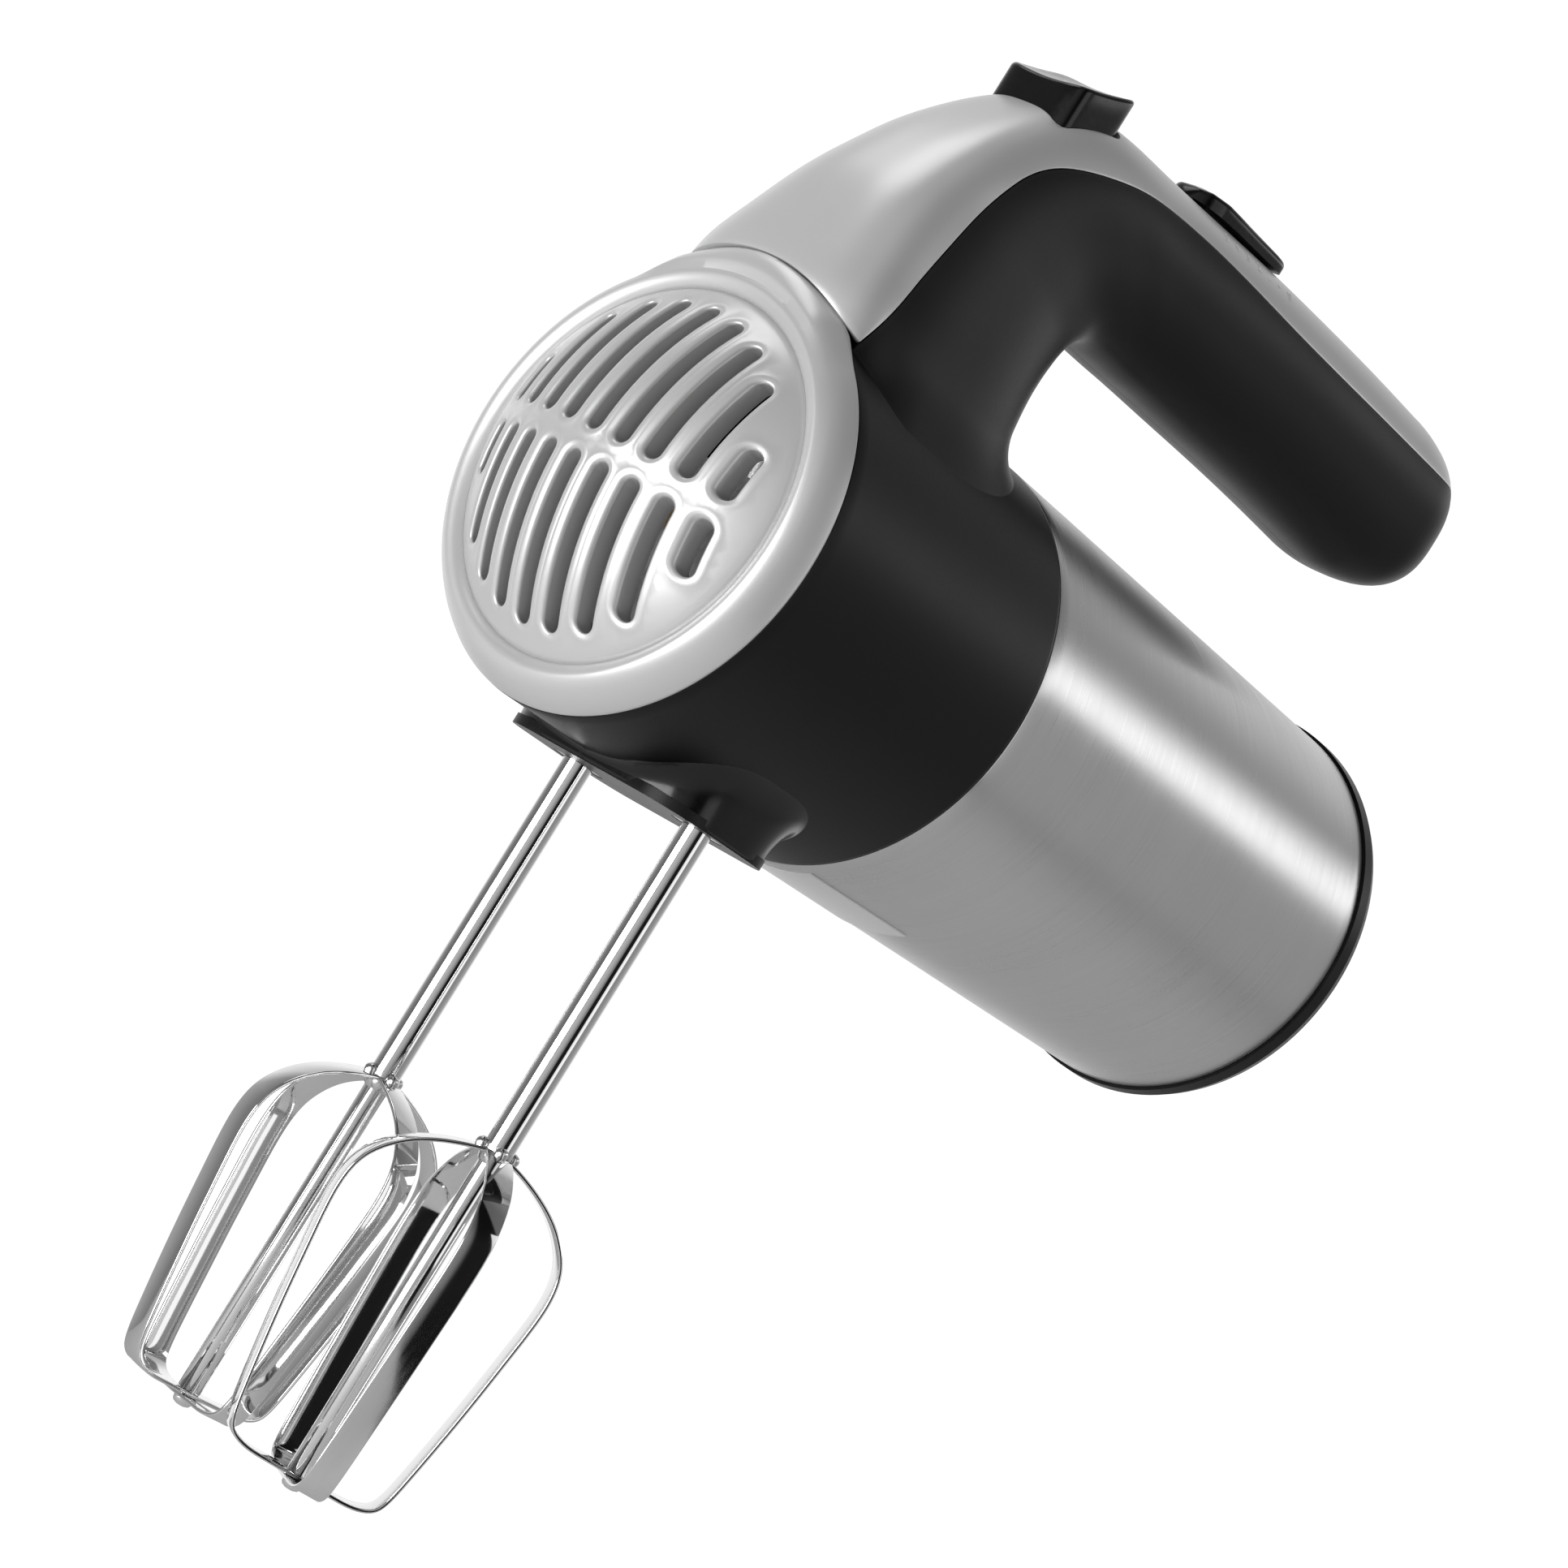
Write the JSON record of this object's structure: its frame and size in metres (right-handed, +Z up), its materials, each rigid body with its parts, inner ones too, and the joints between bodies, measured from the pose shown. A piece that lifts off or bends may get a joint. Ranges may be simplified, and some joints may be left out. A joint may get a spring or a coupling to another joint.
{
  "type": "hand mixer",
  "caption": "Electric hand mixer with a steel barrel, open-ended grip, slide speed control, eject button and two removable wire-strip beaters.",
  "frame": {"origin": "centre of the flat heel at the rear of the barrel, on the barrel's axis", "axes": "+Z up with the beaters hanging down, barrel along Y with the nose towards -Y, +X to the user's right when facing the rear"},
  "size_m": [0.094, 0.2294, 0.3123],
  "materials": {
    "black_plastic": "fine matte texture",
    "satin_silver": "satin silver paint on plastic",
    "brushed_steel": "brushed round the barrel",
    "label_foil": "satin foil, blank",
    "button_black": "smooth semi-gloss",
    "polished_steel": "polished",
    "die_cast": "die-cast",
    "zinc_steel": "zinc plated",
    "bronze": "sintered bronze and brass",
    "lamination": "stacked laminations",
    "copper_wire": "enamelled copper",
    "nylon": "natural nylon",
    "board": "printed circuit board",
    "carbon": "carbon",
    "rubber": "soft rubber"
  },
  "bodies": {
    "housing": {"brush_holders": "bronze", "brush_springs": "zinc_steel", "carbon_brushes": "carbon", "circuit_board": "board", "cord_bush": "rubber", "cord_clamp": "zinc_steel", "eject_spring": "zinc_steel", "end_cap": "black_plastic", "field_coils": "copper_wire", "frame_screws": "zinc_steel", "gear_frame": "die_cast", "gear_lid": "zinc_steel", "housing_left": "black_plastic", "housing_right": "black_plastic", "housing_screws": "zinc_steel", "nose_grille": "satin_silver", "outlet_plate": "black_plastic", "rating_plate": "label_foil", "rear_bracket": "die_cast", "shaft_bearings": "bronze", "speed_switch": "nylon", "spindle_bushes": "bronze", "stator_core": "lamination", "steel_sleeve": "brushed_steel", "top_cover": "satin_silver"},
    "armature": {"armature_shaft": "zinc_steel", "armature_core": "lamination", "armature_windings": "copper_wire", "commutator": "bronze", "cooling_fan": "nylon", "worm": "zinc_steel"},
    "left_gear": {"left_worm_wheel": "nylon", "left_spindle": "zinc_steel", "left_spring_clip": "zinc_steel"},
    "right_gear": {"right_worm_wheel": "nylon", "right_spindle": "zinc_steel", "right_spring_clip": "zinc_steel"},
    "ejector": {"eject_button": "button_black", "eject_yoke": "nylon"},
    "left_pin": {"left_push_pin": "zinc_steel"},
    "right_pin": {"right_push_pin": "zinc_steel"},
    "left_beater": {"left_beater_shaft": "polished_steel", "left_beater_stem": "polished_steel", "left_beater_blades": "polished_steel", "left_beater_rivet": "polished_steel"},
    "right_beater": {"right_beater_shaft": "polished_steel", "right_beater_stem": "polished_steel", "right_beater_blades": "polished_steel", "right_beater_rivet": "polished_steel"},
    "speed_slider": {"speed_slider": "button_black", "slider_carriage": "nylon"}
  },
  "joints": [
    {"name": "armature_spin", "type": "hinge", "parent": "housing", "child": "armature", "pos_m": [0, -0.167, 0], "axis": [0, 1, 0], "continuous": true},
    {"name": "right_gear_spin", "type": "hinge", "parent": "housing", "child": "right_gear", "pos_m": [0.0181, -0.167, 0], "axis": [0, 0, 1], "continuous": true},
    {"name": "left_gear_spin", "type": "hinge", "parent": "housing", "child": "left_gear", "pos_m": [-0.0181, -0.167, 0], "axis": [0, 0, 1], "continuous": true},
    {"name": "eject_press", "type": "slide", "parent": "housing", "child": "ejector", "axis": [0, 0, -1], "range_m": [0, 0.006], "stiffness_N_per_m": 600, "springref_m": -0.004, "deforming": ["eject_spring"]},
    {"name": "right_pin_push", "type": "slide", "parent": "right_gear", "child": "right_pin", "axis": [0, 0, -1], "range_m": [0, 0.006]},
    {"name": "left_pin_push", "type": "slide", "parent": "left_gear", "child": "left_pin", "axis": [0, 0, -1], "range_m": [0, 0.006]},
    {"name": "right_beater_pull", "type": "slide", "parent": "right_pin", "child": "right_beater", "axis": [0, 0, -1], "range_m": [0, 0.034]},
    {"name": "left_beater_pull", "type": "slide", "parent": "left_pin", "child": "left_beater", "axis": [0, 0, -1], "range_m": [0, 0.034]},
    {"name": "speed_slide", "type": "slide", "parent": "housing", "child": "speed_slider", "axis": [0, -1, 0], "range_m": [0, 0.024]}
  ],
  "couplings": [
    {"joint": "right_gear_spin", "follows": "armature_spin", "ratio": 0.071429},
    {"joint": "left_gear_spin", "follows": "armature_spin", "ratio": -0.071429},
    {"joint": "right_pin_push", "follows": "eject_press", "ratio": 1},
    {"joint": "left_pin_push", "follows": "eject_press", "ratio": 1}
  ]
}
